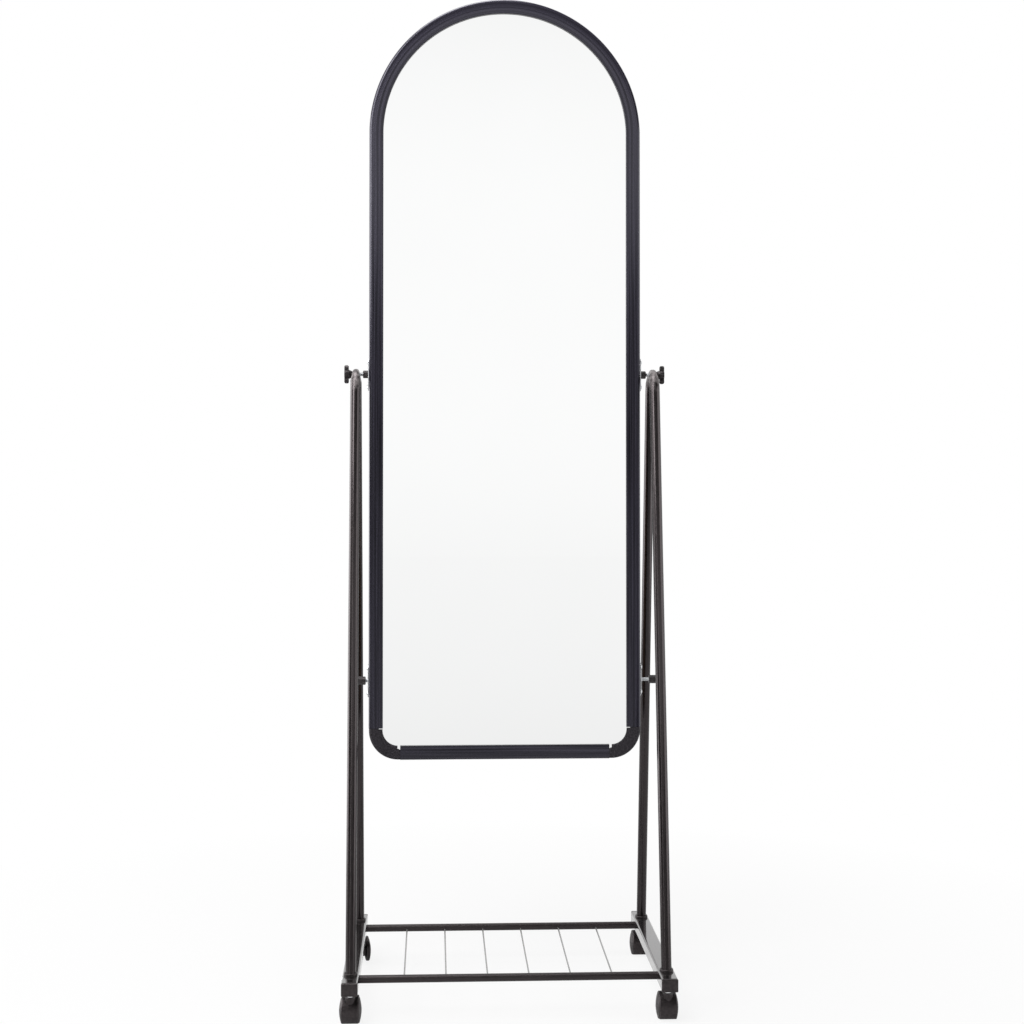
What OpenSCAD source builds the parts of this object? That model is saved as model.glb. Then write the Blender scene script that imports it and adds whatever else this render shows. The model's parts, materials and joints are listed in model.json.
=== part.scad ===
// Rolling dressing mirror: an arched mirror that tilts between two A-shaped tube sides.
// Origin on the floor, midway between the four casters. +Z is up and the glass faces -Y.

/* [Mirror frame] */
// Overall width of the mirror, which is also the diameter of its arched top
mirror_w = 440; // [400:1:520]
// Overall height of the mirror, from the bottom rail to the crown of the arch
mirror_h = 1232; // [1000:1:1350]
// Height of the crown above the tilt axis
crown_rise = 610; // [520:1:680]
// Width of the frame's face
face_w = 23; // [22:0.5:32]
// Depth of the frame, front to back
frame_d = 20; // [19:0.5:26]
// Radius along the two outer edges of the frame
outer_round = 4; // [1.5:0.1:4.6]
// Radius along the two inner edges of the frame
inner_round = 1.2; // [0.6:0.1:1.8]
// Wall thickness of the hollow channel
channel_wall = 2.2; // [1.4:0.1:2.6]
// How far the lips reach over the glass
lip_l = 8; // [6:0.5:9]
// Thickness of the lip in front of the glass
lip_t = 4; // [2.5:0.1:5]
// Outer radius of the moulded corner elbows
elbow_r = 47.5; // [40:0.5:60]
// Straight stretch at each end of an elbow
elbow_arm = 3.5; // [2:0.5:20]
// How much the faces of an elbow lie under those of the channel
elbow_step = 0.5; // [0.1:0.1:1]
// Length of the spigots that join the elbows to the channel
spigot_l = 24; // [12:1:40]
// Width of the slot that is left between the lips at the side joints
side_slot = 2; // [0.8:0.1:3.5]
// Width of the slot that is left between the lips at the bottom joints
rail_slot = 4.5; // [2:0.1:5]

/* [Glass and back] */
// Thickness of the mirror glass
glass_t = 3; // [2:0.5:4]
// Thickness of the backing board
board_t = 3; // [2:0.5:4]
// Gap between the edge of the glass and the floor of its groove
glass_play = 1; // [0.5:0.1:1.5]

/* [Pivots and tilt stops] */
// Height of the tilt axis above the floor
pivot_z = 992; // [900:1:1080]
// Height of the tilt stops above the bottom of the mirror
stop_rise = 127; // [110:1:300]
// Length of each bracket plate
plate_l = 53; // [50:1:80]
// Width of each bracket plate
plate_w = 16; // [14:0.5:18]
// Thickness of each bracket plate
plate_t = 1.5; // [1:0.1:3]
// Distance between the two screws of a bracket
screw_pitch = 40; // [34:1:42]
// Diameter of the bracket screws
screw_d = 3.5; // [3:0.1:4.2]
// Length of the bracket screws under the head
screw_l = 10; // [7:0.5:12]
// Diameter of the bracket screws' heads
screw_head_d = 7; // [6:0.1:8]
// Height of the bracket screws' heads
screw_head_h = 2.2; // [1.5:0.1:3]
// Diameter of the pivot and stop studs
stud_d = 6; // [5:0.1:7]
// How far the pivot studs reach into the knobs
knob_grip = 5.7; // [3:0.1:8]
// Length of the stop studs outside the bracket plate
stop_stud_l = 31; // [28:0.5:34]
// Diameter of the studs' heads, inside the channel
stud_head_d = 10; // [8.5:0.1:12]
// Height of the studs' heads
stud_head_h = 4; // [2:0.1:5]
// Diameter over the lobes of the star nuts on the pivot studs
star_nut_d = 12.4; // [11:0.1:16]
// Length of the star nuts
star_nut_l = 8.2; // [5:0.1:11]
// Diameter over the lobes of the tilt stops
stop_d = 13.4; // [11:0.1:16]
// Length of the tilt stops
stop_l = 13; // [8:0.5:15]
// Diameter of each lobe of the star nuts and the tilt stops
lobe_d = 3.2; // [2:0.1:4]
// Bare thread between the plate and the left tilt stop
stop_gap_left = 3.5; // [0:0.5:12]
// Bare thread between the plate and the right tilt stop
stop_gap_right = 12.8; // [0:0.1:13]

/* [Wing knobs] */
// Span of the wings
knob_span = 29.6; // [24:0.1:40]
// Width of the tip of a wing
knob_wing_w = 10; // [7:0.1:13]
// Width of a wing next to the hub
knob_root_w = 7; // [4:0.1:10]
// Thickness of the wings, along the stud
knob_wing_t = 7; // [6:0.1:9]
// Radius round the ends of the wings
knob_round = 2.6; // [0.5:0.1:2.9]
// Length of the tapered boss between the tube and the wings
knob_boss_l = 6; // [4:0.1:9]
// Diameter of the boss where it meets the tube
knob_tip_d = 10; // [9:0.1:12]
// Diameter of the boss where it meets the wings
knob_hub_d = 15; // [13:0.1:18]

/* [Side frames] */
// Distance from the side of the mirror to the middle of the leg tubes
side_gap = 21; // [19:0.5:60]
// Outer diameter of the leg tube
tube_d = 16; // [14:0.5:18]
// Wall thickness of the leg tube
tube_wall = 1.2; // [0.8:0.1:2]
// Radius of the bend at the top, to the middle of the tube
bend_r = 30; // [24:1:50]
// Thickness of the tube where it is pressed flat for the pivot
pinch_t = 11; // [9:0.5:13]
// How far the legs reach down into the rails
leg_tail = 12; // [6:0.5:12]
// Outer diameter of the ring round the foot of each leg
collar_d = 21; // [20:0.5:24]
// Height of the ring round the foot of each leg
collar_h = 4; // [3:0.5:8]

/* [Rails and shelf] */
// Length of each side rail without its end plugs
rail_l = 400; // [380:1:500]
// Width of each side rail
rail_w = 25; // [25:0.5:32]
// Height of each side rail
rail_h = 20; // [18:0.5:26]
// Wall thickness of the side rails
rail_wall = 1.5; // [1:0.1:1.8]
// Radius along the edges of the side rails
rail_round = 2.5; // [2:0.1:4]
// How far the end plugs stand out of the rails
plug_cap = 5; // [3:0.5:9]
// Radius round the outer edges of the end plugs
plug_round = 2.4; // [1:0.1:2.9]
// Distance from the end of a rail to the middle of its caster's stem
stem_inset = 24; // [16:0.5:26]
// Plastic between the stem and the inner end of the plug
plug_wall = 1.5; // [1:0.1:4]
// Plastic over the top of the stem
stem_cover = 3; // [1:0.1:5]
// Distance from the inner end of a plug to the leg, at the top of the rail
foot_gap = 2; // [2:0.5:10]
// Distance from the leg to the bolt of the crossbar
bar_gap = 2.5; // [1.5:0.5:10]
// Outer diameter of the crossbars
bar_d = 12; // [10:0.5:14]
// Wall thickness of the crossbars
bar_wall = 1.2; // [0.8:0.1:1.6]
// Length of the solid insert at each end of a crossbar
insert_l = 22; // [20:1:40]
// Number of wires in the shelf
wire_count = 6; // [4:1:7]
// Distance between the wires
wire_pitch = 64; // [40:1:66]
// Diameter of the wires
wire_d = 2.4; // [2:0.1:4]
// How far the ends of the wires reach into the crossbars
wire_tail = 3; // [1.8:0.1:6]
// Diameter of the crossbar bolts
bolt_d = 5; // [4:0.1:6]
// How far the crossbar bolts reach into the crossbars
bolt_grip = 12; // [8:1:18]
// Diameter of the crossbar bolts' heads
bolt_head_d = 9; // [8:0.1:11]
// Height of the crossbar bolts' heads
bolt_head_h = 3; // [2:0.1:5]

/* [Casters] */
// Diameter of the stem
stem_d = 8; // [7:0.1:9]
// How far the stem reaches down into the hood
stem_foot_l = 15; // [8:0.5:15.5]
// Diameter of the collar between the rail and the hood
stem_collar_d = 11; // [10.5:0.1:14]
// Height of the collar between the rail and the hood
stem_collar_h = 7.7; // [3:0.1:15]
// Distance of the axle behind the stem
trail = 10; // [8:0.5:12]
// Diameter of the wheels
wheel_d = 38; // [36:0.5:44]
// Overall width over both wheels, at the middle of their domes
wheels_w = 34; // [32:0.5:38]
// How much the middle of a wheel's outer face stands out
wheel_dome = 2.6; // [1:0.1:3]
// Radius along the edges of the tread
tread_round = 2; // [0.5:0.1:2.5]
// Thickness of a wheel's rim
rim_t = 3.5; // [2.5:0.1:5]
// Diameter of a wheel's hub
hub_d = 10; // [9:0.1:13]
// Depth of the hollow in the inner face of a wheel
cup_l = 4; // [1:0.1:4.5]
// Width of the solid web between the wheels
web_w = 15.6; // [14:0.1:16]
// Diameter of the web where it goes round the axle, below and behind
web_hub_d = 20; // [14:0.5:30]
// Width of the hood over the wheels
hood_w = 26; // [22:0.5:30]
// Wall thickness of the hood
hood_wall = 2; // [1.5:0.1:3]
// Gap between the treads and the hood
hood_gap = 1.2; // [0.8:0.1:2]
// How far the neck round the stem stands above the hood
neck_rise = 0.8; // [0.5:0.1:5]
// Diameter of the neck round the stem
neck_d = 16; // [14:0.1:20]
// Diameter of the axle
axle_d = 5; // [4:0.1:6]
// How far each end of the axle reaches into its wheel
axle_grip = 6; // [3:0.1:6]
// How far the left rear caster is swung round from straight back
rear_left_swing = -170; // [-180:1:180]

/* [Fits] */
// Gap round pieces that slide together and stay put
slip = 0.15; // [0.1:0.01:0.25]
// Radial gap round a pin or screw that is driven home
snug = 0.02; // [0.01:0.01:0.05]
// Radial gap round a shaft that turns
running = 0.06; // [0.02:0.01:0.1]
// Gap between faces that pass each other
clear = 0.3; // [0.2:0.05:0.5]

/* [Hidden] */
$fn = 72;
// Facets of the widest arcs
wide_fn = 240;
SIDES = [-1, 1];

// Cutters reach past the faces that they cut by this much
over = 1;
// Free depth past the tip of a stud in a blind bore
blind_gap = 1;
// Bevel on the tips of studs, bolts and stems
tip_bevel = 0.6;
// Bevel on the edges of nuts, collars and the hood
edge_bevel = 0.8;

// Mirror frame
mirror_r = mirror_w / 2;
arch_z = pivot_z + crown_rise - mirror_r;
bottom_z = pivot_z + crown_rise - mirror_h;
corner_x = mirror_r - elbow_r;
corner_z = bottom_z + elbow_r;
joint_x = corner_x - elbow_arm;
joint_z = corner_z + elbow_arm;
inner_x = mirror_r - face_w;
groove_front = frame_d / 2 - lip_t;
groove_back = groove_front - glass_t - board_t - clear;
chamber_x = lip_l + channel_wall;
chamber_w = face_w - chamber_x - channel_wall;
chamber_d = frame_d - 2 * channel_wall;
glass_step = face_w - lip_l + glass_play;
slot_l = lip_l - glass_play;

// Pivots and stops
plate_face_x = mirror_r + plate_t;
stop_z = bottom_z + stop_rise;
nut_lobes = 6;

// Side frames. The legs leave the bend as its tangents and run down into the rails.
leg_x = mirror_r + side_gap;
knob_x = leg_x + pinch_t / 2 + clear;
bend_z = pivot_z - bend_r;
plug_l = stem_inset + stem_d / 2 + plug_wall;
stem_y = rail_l / 2 - stem_inset;
foot_y = rail_l / 2 - plug_l - foot_gap - tube_d / 2;
bar_y = foot_y - tube_d / 2 - bar_gap - bolt_d / 2;

// Casters
axle_z = wheel_d / 2;
cavity_r = wheel_d / 2 + hood_gap;
hood_r = cavity_r + hood_wall;
hood_top = axle_z + hood_r + neck_rise;
stem_foot_z = hood_top - stem_foot_l;
wheel_in = web_w / 2 + 2 * clear;
rim_out = wheels_w / 2 - wheel_dome;
dome_span = wheel_d / 2 - tread_round;
dome_r = (pow(dome_span, 2) + pow(wheel_dome, 2)) / (2 * wheel_dome);
// The hood runs from behind the tops of the wheels, over them and down in front
hood_start = 38;
hood_arc = 187;
// The edges of the web lie this far inside the ends of the hood, in degrees
web_lap = 2;

// Rails
rail_z = hood_top + clear + stem_collar_h;
rail_top = rail_z + rail_h;
rail_mid = rail_z + rail_h / 2;
rail_in_x = leg_x - rail_w / 2;
rail_out_x = leg_x + rail_w / 2;
bore_round = rail_round - rail_wall;

// Lean of the legs, from the foot, the bend and the height between them
foot_drop = bend_z - rail_top;
lean = acos(bend_r / norm([foot_y, foot_drop])) - atan2(foot_drop, foot_y);
tangent_y = bend_r * cos(lean);
tangent_z = bend_z + bend_r * sin(lean);
leg_l = (tangent_z - rail_top + leg_tail) / cos(lean);
// The bend is this much slimmer than the legs, and runs on into them by this many degrees
bend_slim = 0.3;
bend_seat = 1;
// Half the arc of the bend that is closed up
closed_half = 48;
// Half the length that the press thins, and the radius of its jaws
press_half = 24;
press_r = pow(press_half, 2) / (tube_d - pinch_t);

black_plastic = [0.13, 0.13, 0.14];
black_paint = [0.08, 0.08, 0.09];
black_gloss = [0.05, 0.05, 0.06];
dark_plastic = [0.17, 0.17, 0.17];
silver_glass = [0.86, 0.89, 0.91];
board_brown = [0.55, 0.43, 0.30];
zinc = [0.72, 0.73, 0.75];
bright_wire = [0.80, 0.81, 0.82];

// Draws its children on the right, or mirrors them to the left
module on_side(side) {
    if (side < 0) mirror([1, 0, 0]) children();
    else children();
}

// Rectangle with round corners, centred on the origin
module rounded_rect(w, h, r) {
    square([w - 2 * r, h], center = true);
    square([w, h - 2 * r], center = true);
    for (x = SIDES, y = SIDES) translate([x * (w / 2 - r), y * (h / 2 - r)]) circle(r);
}

// Slot shape with round ends: w long and h high, or a circle where they are alike
module stadium(w, h) {
    if (w > h) square([w - h, h], center = true);
    for (s = SIDES) translate([s * (w - h) / 2, 0]) circle(d = h);
}

// Round bar along +Z with a bevelled tip
module pin(d, l) {
    cylinder(d = d, h = l - tip_bevel);
    translate([0, 0, l - tip_bevel]) cylinder(d1 = d, d2 = d - 2 * tip_bevel, h = tip_bevel);
}

// Outline of the frame's section. x runs outwards from the inner edge, y towards the viewer.
module frame_outline(inset) {
    half_d = frame_d / 2 - inset;
    start = inset + inner_round;
    stop = face_w - inset - outer_round;
    translate([start, -half_d]) square([stop - start, 2 * half_d]);
    translate([inset, inner_round - half_d]) square([face_w / 2, 2 * (half_d - inner_round)]);
    translate([face_w / 2, outer_round - half_d])
        square([face_w / 2 - inset, 2 * (half_d - outer_round)]);
    for (s = SIDES) {
        translate([start, s * (half_d - inner_round)]) circle(inner_round);
        translate([stop, s * (half_d - outer_round)]) circle(outer_round);
    }
}

// Groove that holds the glass and its board, as it lies in the section
module groove() {
    translate([-over, groove_back]) square([lip_l + over, groove_front - groove_back]);
}

// Section of the extruded channel, hollow round the groove
module channel_section() {
    difference() {
        frame_outline(0);
        groove();
        translate([chamber_x, -chamber_d / 2]) square([chamber_w, chamber_d]);
        translate([channel_wall, -chamber_d / 2])
            square([chamber_x, groove_back - channel_wall + chamber_d / 2]);
    }
}

// Section of an elbow, a little smaller and solid round the groove
module elbow_section() {
    difference() {
        frame_outline(elbow_step);
        groove();
    }
}

// Straight length of a section, standing on its lower end on the right
module upright(from_z, to_z) {
    translate([inner_x, 0, from_z]) mirror([0, 1, 0]) linear_extrude(to_z - from_z) children();
}

// Straight length of a section along the bottom, from the middle outwards
module level(from_x, to_x) {
    translate([from_x, 0, bottom_z + face_w])
        rotate([0, 90, 0]) mirror([0, 1, 0]) linear_extrude(to_x - from_x) children();
}

// Bent length of a section round a centre in the mirror's plane
module bent(x, z, r, start, arc) {
    translate([x, 0, z]) rotate([90, 0, 0]) rotate([0, 0, start])
        rotate_extrude(angle = arc) translate([r - face_w, 0]) children();
}

// Bore through the side of the channel, from the chamber outwards
module side_bore(z, d) {
    translate([mirror_r - channel_wall - over, 0, z])
        rotate([0, 90, 0]) cylinder(d = d, h = channel_wall + 2 * over);
}

module arch_channel() {
    color(black_plastic)
    difference() {
        union() {
            bent(0, arch_z, mirror_r, 0, 180) channel_section();
            for (s = SIDES) on_side(s) upright(joint_z, arch_z) channel_section();
        }
        for (s = SIDES, z = [pivot_z, stop_z]) on_side(s) {
            side_bore(z, stud_d + 2 * slip);
            for (t = SIDES) side_bore(z + t * screw_pitch / 2, screw_d + 2 * snug);
        }
    }
}

module bottom_rail() {
    color(black_plastic) level(-joint_x, joint_x) channel_section();
}

// Open slot at a joint, from the inner edge to the edge of the glass. x runs into the lip.
module lip_slot(width) {
    tip_r = width / 4;
    translate([-over, 0]) square([slot_l - tip_r + over, width]);
    translate([slot_l - tip_r, tip_r]) circle(tip_r);
    translate([slot_l - tip_r, 0]) square(tip_r);
}

module elbow(side) {
    color(dark_plastic)
    on_side(side)
    difference() {
        union() {
            bent(corner_x, corner_z, elbow_r, -90, 90) elbow_section();
            upright(corner_z, joint_z) elbow_section();
            level(joint_x, corner_x) elbow_section();
            upright(joint_z - over, joint_z + spigot_l) spigot_section();
            level(joint_x - spigot_l, joint_x + over) spigot_section();
        }
        translate([inner_x, -groove_front, joint_z]) rotate([90, 0, 0])
            mirror([0, 1, 0]) linear_extrude(lip_t + over) lip_slot(side_slot);
        translate([joint_x, -groove_front, bottom_z + face_w]) rotate([90, 0, 0])
            rotate([0, 0, -90]) linear_extrude(lip_t + over) lip_slot(rail_slot);
    }
}

// Spigot that fits the outer chamber of the channel
module spigot_section() {
    translate([chamber_x + slip, slip - chamber_d / 2])
        square([chamber_w - 2 * slip, chamber_d - 2 * slip]);
}

// Outline of the glass and its board: an arch with two round corners below
module pane_outline() {
    pane_r = mirror_r - glass_step;
    pane_corner = elbow_r - glass_step;
    translate([0, arch_z]) circle(pane_r, $fn = wide_fn);
    translate([-pane_r, corner_z]) square([2 * pane_r, arch_z - corner_z]);
    translate([-corner_x, bottom_z + glass_step]) square([2 * corner_x, elbow_r]);
    for (s = SIDES) translate([s * corner_x, corner_z]) circle(pane_corner);
}

// Pane of the given thickness whose front face lies this far towards the viewer
module pane(front, thickness) {
    translate([0, thickness - front, 0]) rotate([90, 0, 0]) linear_extrude(thickness) pane_outline();
}

module mirror_glass() {
    color(silver_glass) pane(groove_front, glass_t);
}

module backing_board() {
    color(board_brown) pane(groove_front - glass_t, board_t);
}

module bracket(side, z) {
    color(zinc)
    on_side(side) translate([mirror_r, 0, z]) rotate([0, 90, 0]) difference() {
        linear_extrude(plate_t) stadium(plate_l, plate_w);
        translate([0, 0, -over]) cylinder(d = stud_d + 2 * snug, h = plate_t + 2 * over);
        for (t = SIDES) translate([t * screw_pitch / 2, 0, -over])
            cylinder(d = screw_d + 2 * snug, h = plate_t + 2 * over);
    }
}

module bracket_screws() {
    color(zinc)
    for (s = SIDES, z = [pivot_z, stop_z], t = SIDES)
        on_side(s) translate([plate_face_x, 0, z + t * screw_pitch / 2]) {
            rotate([0, -90, 0]) pin(screw_d, screw_l);
            rotate([0, 90, 0]) cylinder(d1 = screw_head_d, d2 = screw_head_d - 2 * edge_bevel, h = screw_head_h);
        }
}

// Stud from its head inside the channel to its tip
module stud(side, z, length) {
    color(zinc)
    on_side(side) translate([mirror_r - channel_wall, 0, z]) rotate([0, 90, 0]) {
        pin(stud_d, channel_wall + plate_t + length);
        translate([0, 0, -stud_head_h]) cylinder(d = stud_head_d, h = stud_head_h);
    }
}

// Knurled nut with round lobes and bevelled ends, along +Z
module lobed_nut(d, l) {
    difference() {
        intersection() {
            linear_extrude(l) {
                circle(d = d - lobe_d / 2);
                for (i = [0 : nut_lobes - 1]) rotate([0, 0, i * 360 / nut_lobes])
                    translate([(d - lobe_d) / 2, 0]) circle(d = lobe_d);
            }
            rotate_extrude() polygon([
                [0, 0], [d / 2 - edge_bevel, 0], [d / 2, edge_bevel],
                [d / 2, l - edge_bevel], [d / 2 - edge_bevel, l], [0, l]
            ]);
        }
        translate([0, 0, -over]) cylinder(d = stud_d + 2 * snug, h = l + 2 * over);
    }
}

module star_nut(side) {
    color(black_plastic)
    on_side(side) translate([plate_face_x, 0, pivot_z]) rotate([0, 90, 0])
        lobed_nut(star_nut_d, star_nut_l);
}

module tilt_stop(side) {
    gap = side < 0 ? stop_gap_left : stop_gap_right;
    color(black_plastic)
    on_side(side) translate([plate_face_x + gap, 0, stop_z]) rotate([0, 90, 0])
        lobed_nut(stop_d, stop_l);
}

module wing_knob(side) {
    color(dark_plastic)
    on_side(side) translate([knob_x, 0, pivot_z]) rotate([0, 90, 0]) difference() {
        union() {
            cylinder(d1 = knob_tip_d, d2 = knob_hub_d, h = knob_boss_l);
            translate([0, 0, knob_boss_l]) intersection() {
                linear_extrude(knob_wing_t) wing_outline();
                translate([0, 0, knob_wing_t / 2]) rotate([90, 0, 0])
                    linear_extrude(knob_span, center = true)
                    rounded_rect(knob_span, knob_wing_t, knob_round);
            }
        }
        translate([0, 0, -over])
            cylinder(d = stud_d + 2 * running, h = over + clear + knob_grip + blind_gap);
    }
}

// Two round-ended wings on a round hub, along x
module wing_outline() {
    circle(d = knob_hub_d);
    for (s = SIDES) translate([s * (knob_span - knob_wing_w) / 2, 0]) circle(d = knob_wing_w);
    square([knob_span - knob_wing_w, knob_root_w], center = true);
}

// Part of the bend as a round bar, from one angle to another
module bend(d, start, stop) {
    translate([0, bend_z, 0]) rotate([0, 0, start]) rotate_extrude(angle = stop - start)
        translate([bend_r, 0]) circle(d = d - bend_slim);
}

// Both legs as round bars, from the ends of the bend
module straight_legs(d, l) {
    for (s = SIDES) translate([s * tangent_y, tangent_z, 0]) rotate([0, 0, s * lean])
        rotate([90, 0, 0]) cylinder(d = d, h = l);
}

// One bent tube, closed and pressed thin in the middle, drawn in its own plane and turned upright
module leg_frame(side) {
    bore_d = tube_d - 2 * tube_wall;
    bend_start = lean - bend_seat;
    color(black_paint)
    on_side(side) translate([leg_x, 0, 0]) rotate([90, 0, 90]) difference() {
        union() {
            bend(tube_d, bend_start, 180 - bend_start);
            straight_legs(tube_d, leg_l);
        }
        bend(bore_d, bend_start, 90 - closed_half);
        bend(bore_d, 90 + closed_half, 180 - bend_start);
        straight_legs(bore_d, leg_l + over);
        for (s = SIDES) translate([0, pivot_z - 2 * tube_d, s * (pinch_t / 2 + press_r)])
            rotate([-90, 0, 0]) cylinder(r = press_r, h = 4 * tube_d, $fn = wide_fn);
        translate([0, pivot_z, 0]) cylinder(d = stud_d + 2 * running, h = 2 * tube_d, center = true);
    }
}

// Draws its children at the foot of a leg, on the top of the rail and along the leg
module at_foot(side, end) {
    translate([side * leg_x, end * foot_y, rail_top]) rotate([end * lean, 0, 0]) children();
}

module leg_collar(side, end) {
    color(dark_plastic)
    difference() {
        translate([side * leg_x, end * (foot_y - tan(lean) * collar_h / 2), rail_top]) {
            cylinder(d = collar_d, h = collar_h - edge_bevel);
            translate([0, 0, collar_h - edge_bevel])
                cylinder(d1 = collar_d, d2 = collar_d - 2 * edge_bevel, h = edge_bevel);
        }
        at_foot(side, end) cylinder(d = tube_d + 2 * slip, h = 2 * collar_h + tube_d, center = true);
    }
}

// Hollow rail, with holes for the legs in its top, the stems below and the bolts across
module side_rail(side) {
    color(black_gloss)
    difference() {
        translate([side * leg_x, 0, rail_mid]) rotate([90, 0, 0])
            linear_extrude(rail_l, center = true) difference() {
                rounded_rect(rail_w, rail_h, rail_round);
                rounded_rect(rail_w - 2 * rail_wall, rail_h - 2 * rail_wall, bore_round);
            }
        for (e = SIDES) {
            at_foot(side, e) cylinder(d = tube_d + 2 * slip, h = leg_tail, center = true);
            translate([side * leg_x, e * stem_y, rail_z - over])
                cylinder(d = stem_d + 2 * clear, h = rail_wall + 2 * over);
            translate([side * leg_x, e * bar_y, rail_mid]) rotate([0, 90, 0])
                cylinder(d = bolt_d + 2 * snug, h = rail_w + 2 * over, center = true);
        }
    }
}

// Draws its children at the rear, or mirrors them to the front
module at_end(end) {
    if (end < 0) mirror([0, 1, 0]) children();
    else children();
}

// Plug with a rounded cap outside the rail and a block inside it that holds the stem
module end_plug(side, end) {
    color(dark_plastic)
    translate([side * leg_x, 0, rail_mid]) at_end(end) difference() {
        union() {
            translate([0, rail_l / 2, 0]) rotate([90, 0, 0]) linear_extrude(plug_l)
                rounded_rect(rail_w - 2 * (rail_wall + slip), rail_h - 2 * (rail_wall + slip), bore_round);
            translate([0, rail_l / 2, 0]) intersection() {
                rotate([-90, 0, 0]) linear_extrude(plug_cap) rounded_rect(rail_w, rail_h, rail_round);
                linear_extrude(rail_h, center = true) rounded_rect(rail_w, 2 * plug_cap, plug_round);
                rotate([0, 90, 0]) linear_extrude(rail_w, center = true)
                    rounded_rect(rail_h, 2 * plug_cap, plug_round);
            }
        }
        translate([0, stem_y, -rail_h])
            cylinder(d = stem_d + 2 * snug, h = rail_h + rail_h / 2 - rail_wall - stem_cover);
    }
}

module crossbar(end) {
    bar_l = 2 * rail_in_x;
    color(black_paint)
    translate([0, end * bar_y, rail_mid]) difference() {
        rotate([0, 90, 0]) cylinder(d = bar_d, h = bar_l, center = true);
        rotate([0, 90, 0])
            cylinder(d = bar_d - 2 * bar_wall, h = bar_l - 2 * insert_l, center = true);
        for (s = SIDES) translate([s * rail_in_x, 0, 0]) rotate([0, 90, 0])
            cylinder(d = bolt_d + 2 * snug, h = 2 * (bolt_grip + clear), center = true);
        for (i = [0 : wire_count - 1]) translate([wire_x(i), 0, 0]) rotate([end * 90, 0, 0])
            cylinder(d = wire_d + 2 * snug, h = bar_d);
    }
}

function wire_x(i) = (i - (wire_count - 1) / 2) * wire_pitch;

module shelf_wires() {
    wire_l = 2 * (bar_y - bar_d / 2 + wire_tail);
    color(bright_wire)
    for (i = [0 : wire_count - 1]) translate([wire_x(i), 0, rail_mid])
        rotate([90, 0, 0]) cylinder(d = wire_d, h = wire_l, center = true);
}

module crossbar_bolts() {
    color(zinc)
    for (s = SIDES, e = SIDES) on_side(s) translate([rail_out_x, e * bar_y, rail_mid]) {
        rotate([0, -90, 0]) pin(bolt_d, rail_w + bolt_grip);
        rotate([0, 90, 0]) intersection() {
            cylinder(d = bolt_head_d, h = bolt_head_h);
            translate([0, 0, bolt_head_h - bolt_head_d]) sphere(bolt_head_d);
        }
    }
}

// Draws its children at a caster, with the stem on the origin and the axle behind it
module at_caster(side, end, swing) {
    translate([side * leg_x, end * stem_y, 0]) rotate([0, 0, swing]) children();
}

module caster_stem(side, end) {
    stem_top_z = rail_top - rail_wall - stem_cover - clear;
    color(zinc)
    at_caster(side, end, 0) {
        translate([0, 0, stem_foot_z]) pin(stem_d, stem_top_z - stem_foot_z);
        translate([0, 0, hood_top + clear]) cylinder(d = stem_collar_d, h = rail_z - hood_top - clear);
    }
}

// Section of the hood's curved roof, with bevelled edges
module hood_section() {
    half_w = hood_w / 2;
    polygon([
        [cavity_r, -half_w], [hood_r - edge_bevel, -half_w], [hood_r, edge_bevel - half_w],
        [hood_r, half_w - edge_bevel], [hood_r - edge_bevel, half_w], [cavity_r, half_w]
    ]);
}

// Side view of the web: a hub round the axle, filled out to the hood's roof
module web_outline() {
    reach = 2 * hood_r;
    web_start = hood_start + web_lap;
    web_arc = hood_arc - 2 * web_lap;
    circle(d = web_hub_d);
    intersection() {
        circle(cavity_r + hood_wall / 2);
        polygon(concat([[0, 0]], [
            for (i = [0 : 4]) let (a = web_start + i * web_arc / 4) [reach * cos(a), reach * sin(a)]
        ]));
    }
}

// Neck round the stem. Below the roof it is cut back to the web, clear of the wheels.
module hood_neck() {
    difference() {
        translate([0, 0, axle_z]) cylinder(d = neck_d, h = hood_top - axle_z);
        for (s = SIDES) on_side(s) translate([web_w / 2 - clear, trail, axle_z]) rotate([0, 90, 0])
            cylinder(r = cavity_r + hood_wall / 4, h = hood_w);
    }
}

module caster_hood(side, end, swing) {
    color(dark_plastic)
    at_caster(side, end, swing) difference() {
        union() {
            translate([0, trail, axle_z]) rotate([90, 0, 90]) {
                rotate([0, 0, hood_start]) rotate_extrude(angle = hood_arc) hood_section();
                linear_extrude(web_w, center = true) web_outline();
            }
            hood_neck();
        }
        translate([0, 0, stem_foot_z - clear])
            cylinder(d = stem_d + 2 * running, h = stem_foot_l + clear + over);
        translate([0, trail, axle_z]) rotate([0, 90, 0])
            cylinder(d = axle_d + 2 * snug, h = web_w + 2 * over, center = true);
    }
}

module axle(side, end, swing) {
    color(zinc)
    at_caster(side, end, swing) translate([0, trail, axle_z]) rotate([0, 90, 0])
        cylinder(d = axle_d, h = 2 * (wheel_in + axle_grip), center = true);
}

// Section of a wheel. x is the radius and y runs outwards along the axle.
module wheel_section() {
    wheel_r = wheel_d / 2;
    difference() {
        union() {
            intersection() {
                translate([0, wheel_in]) square([dome_span, wheels_w / 2 - wheel_in]);
                translate([0, wheels_w / 2 - dome_r]) circle(dome_r, $fn = wide_fn);
            }
            translate([dome_span - tread_round, wheel_in + tread_round])
                square([2 * tread_round, rim_out - wheel_in - 2 * tread_round]);
            for (y = [wheel_in + tread_round, rim_out - tread_round])
                translate([dome_span, y]) circle(tread_round);
        }
        translate([hub_d / 2, wheel_in - over]) square([wheel_r - rim_t - hub_d / 2, cup_l + over]);
        translate([-over, wheel_in - over])
            square([axle_d / 2 + running + over, axle_grip + clear + over]);
    }
}

// Wheel on the inner side of its caster, towards the middle of the stand, or on the outer side
module wheel(side, end, swing, face) {
    color(dark_plastic)
    at_caster(side, end, swing) translate([0, trail, axle_z]) on_side(side * face)
        rotate([0, 90, 0]) rotate_extrude() wheel_section();
}

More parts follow.
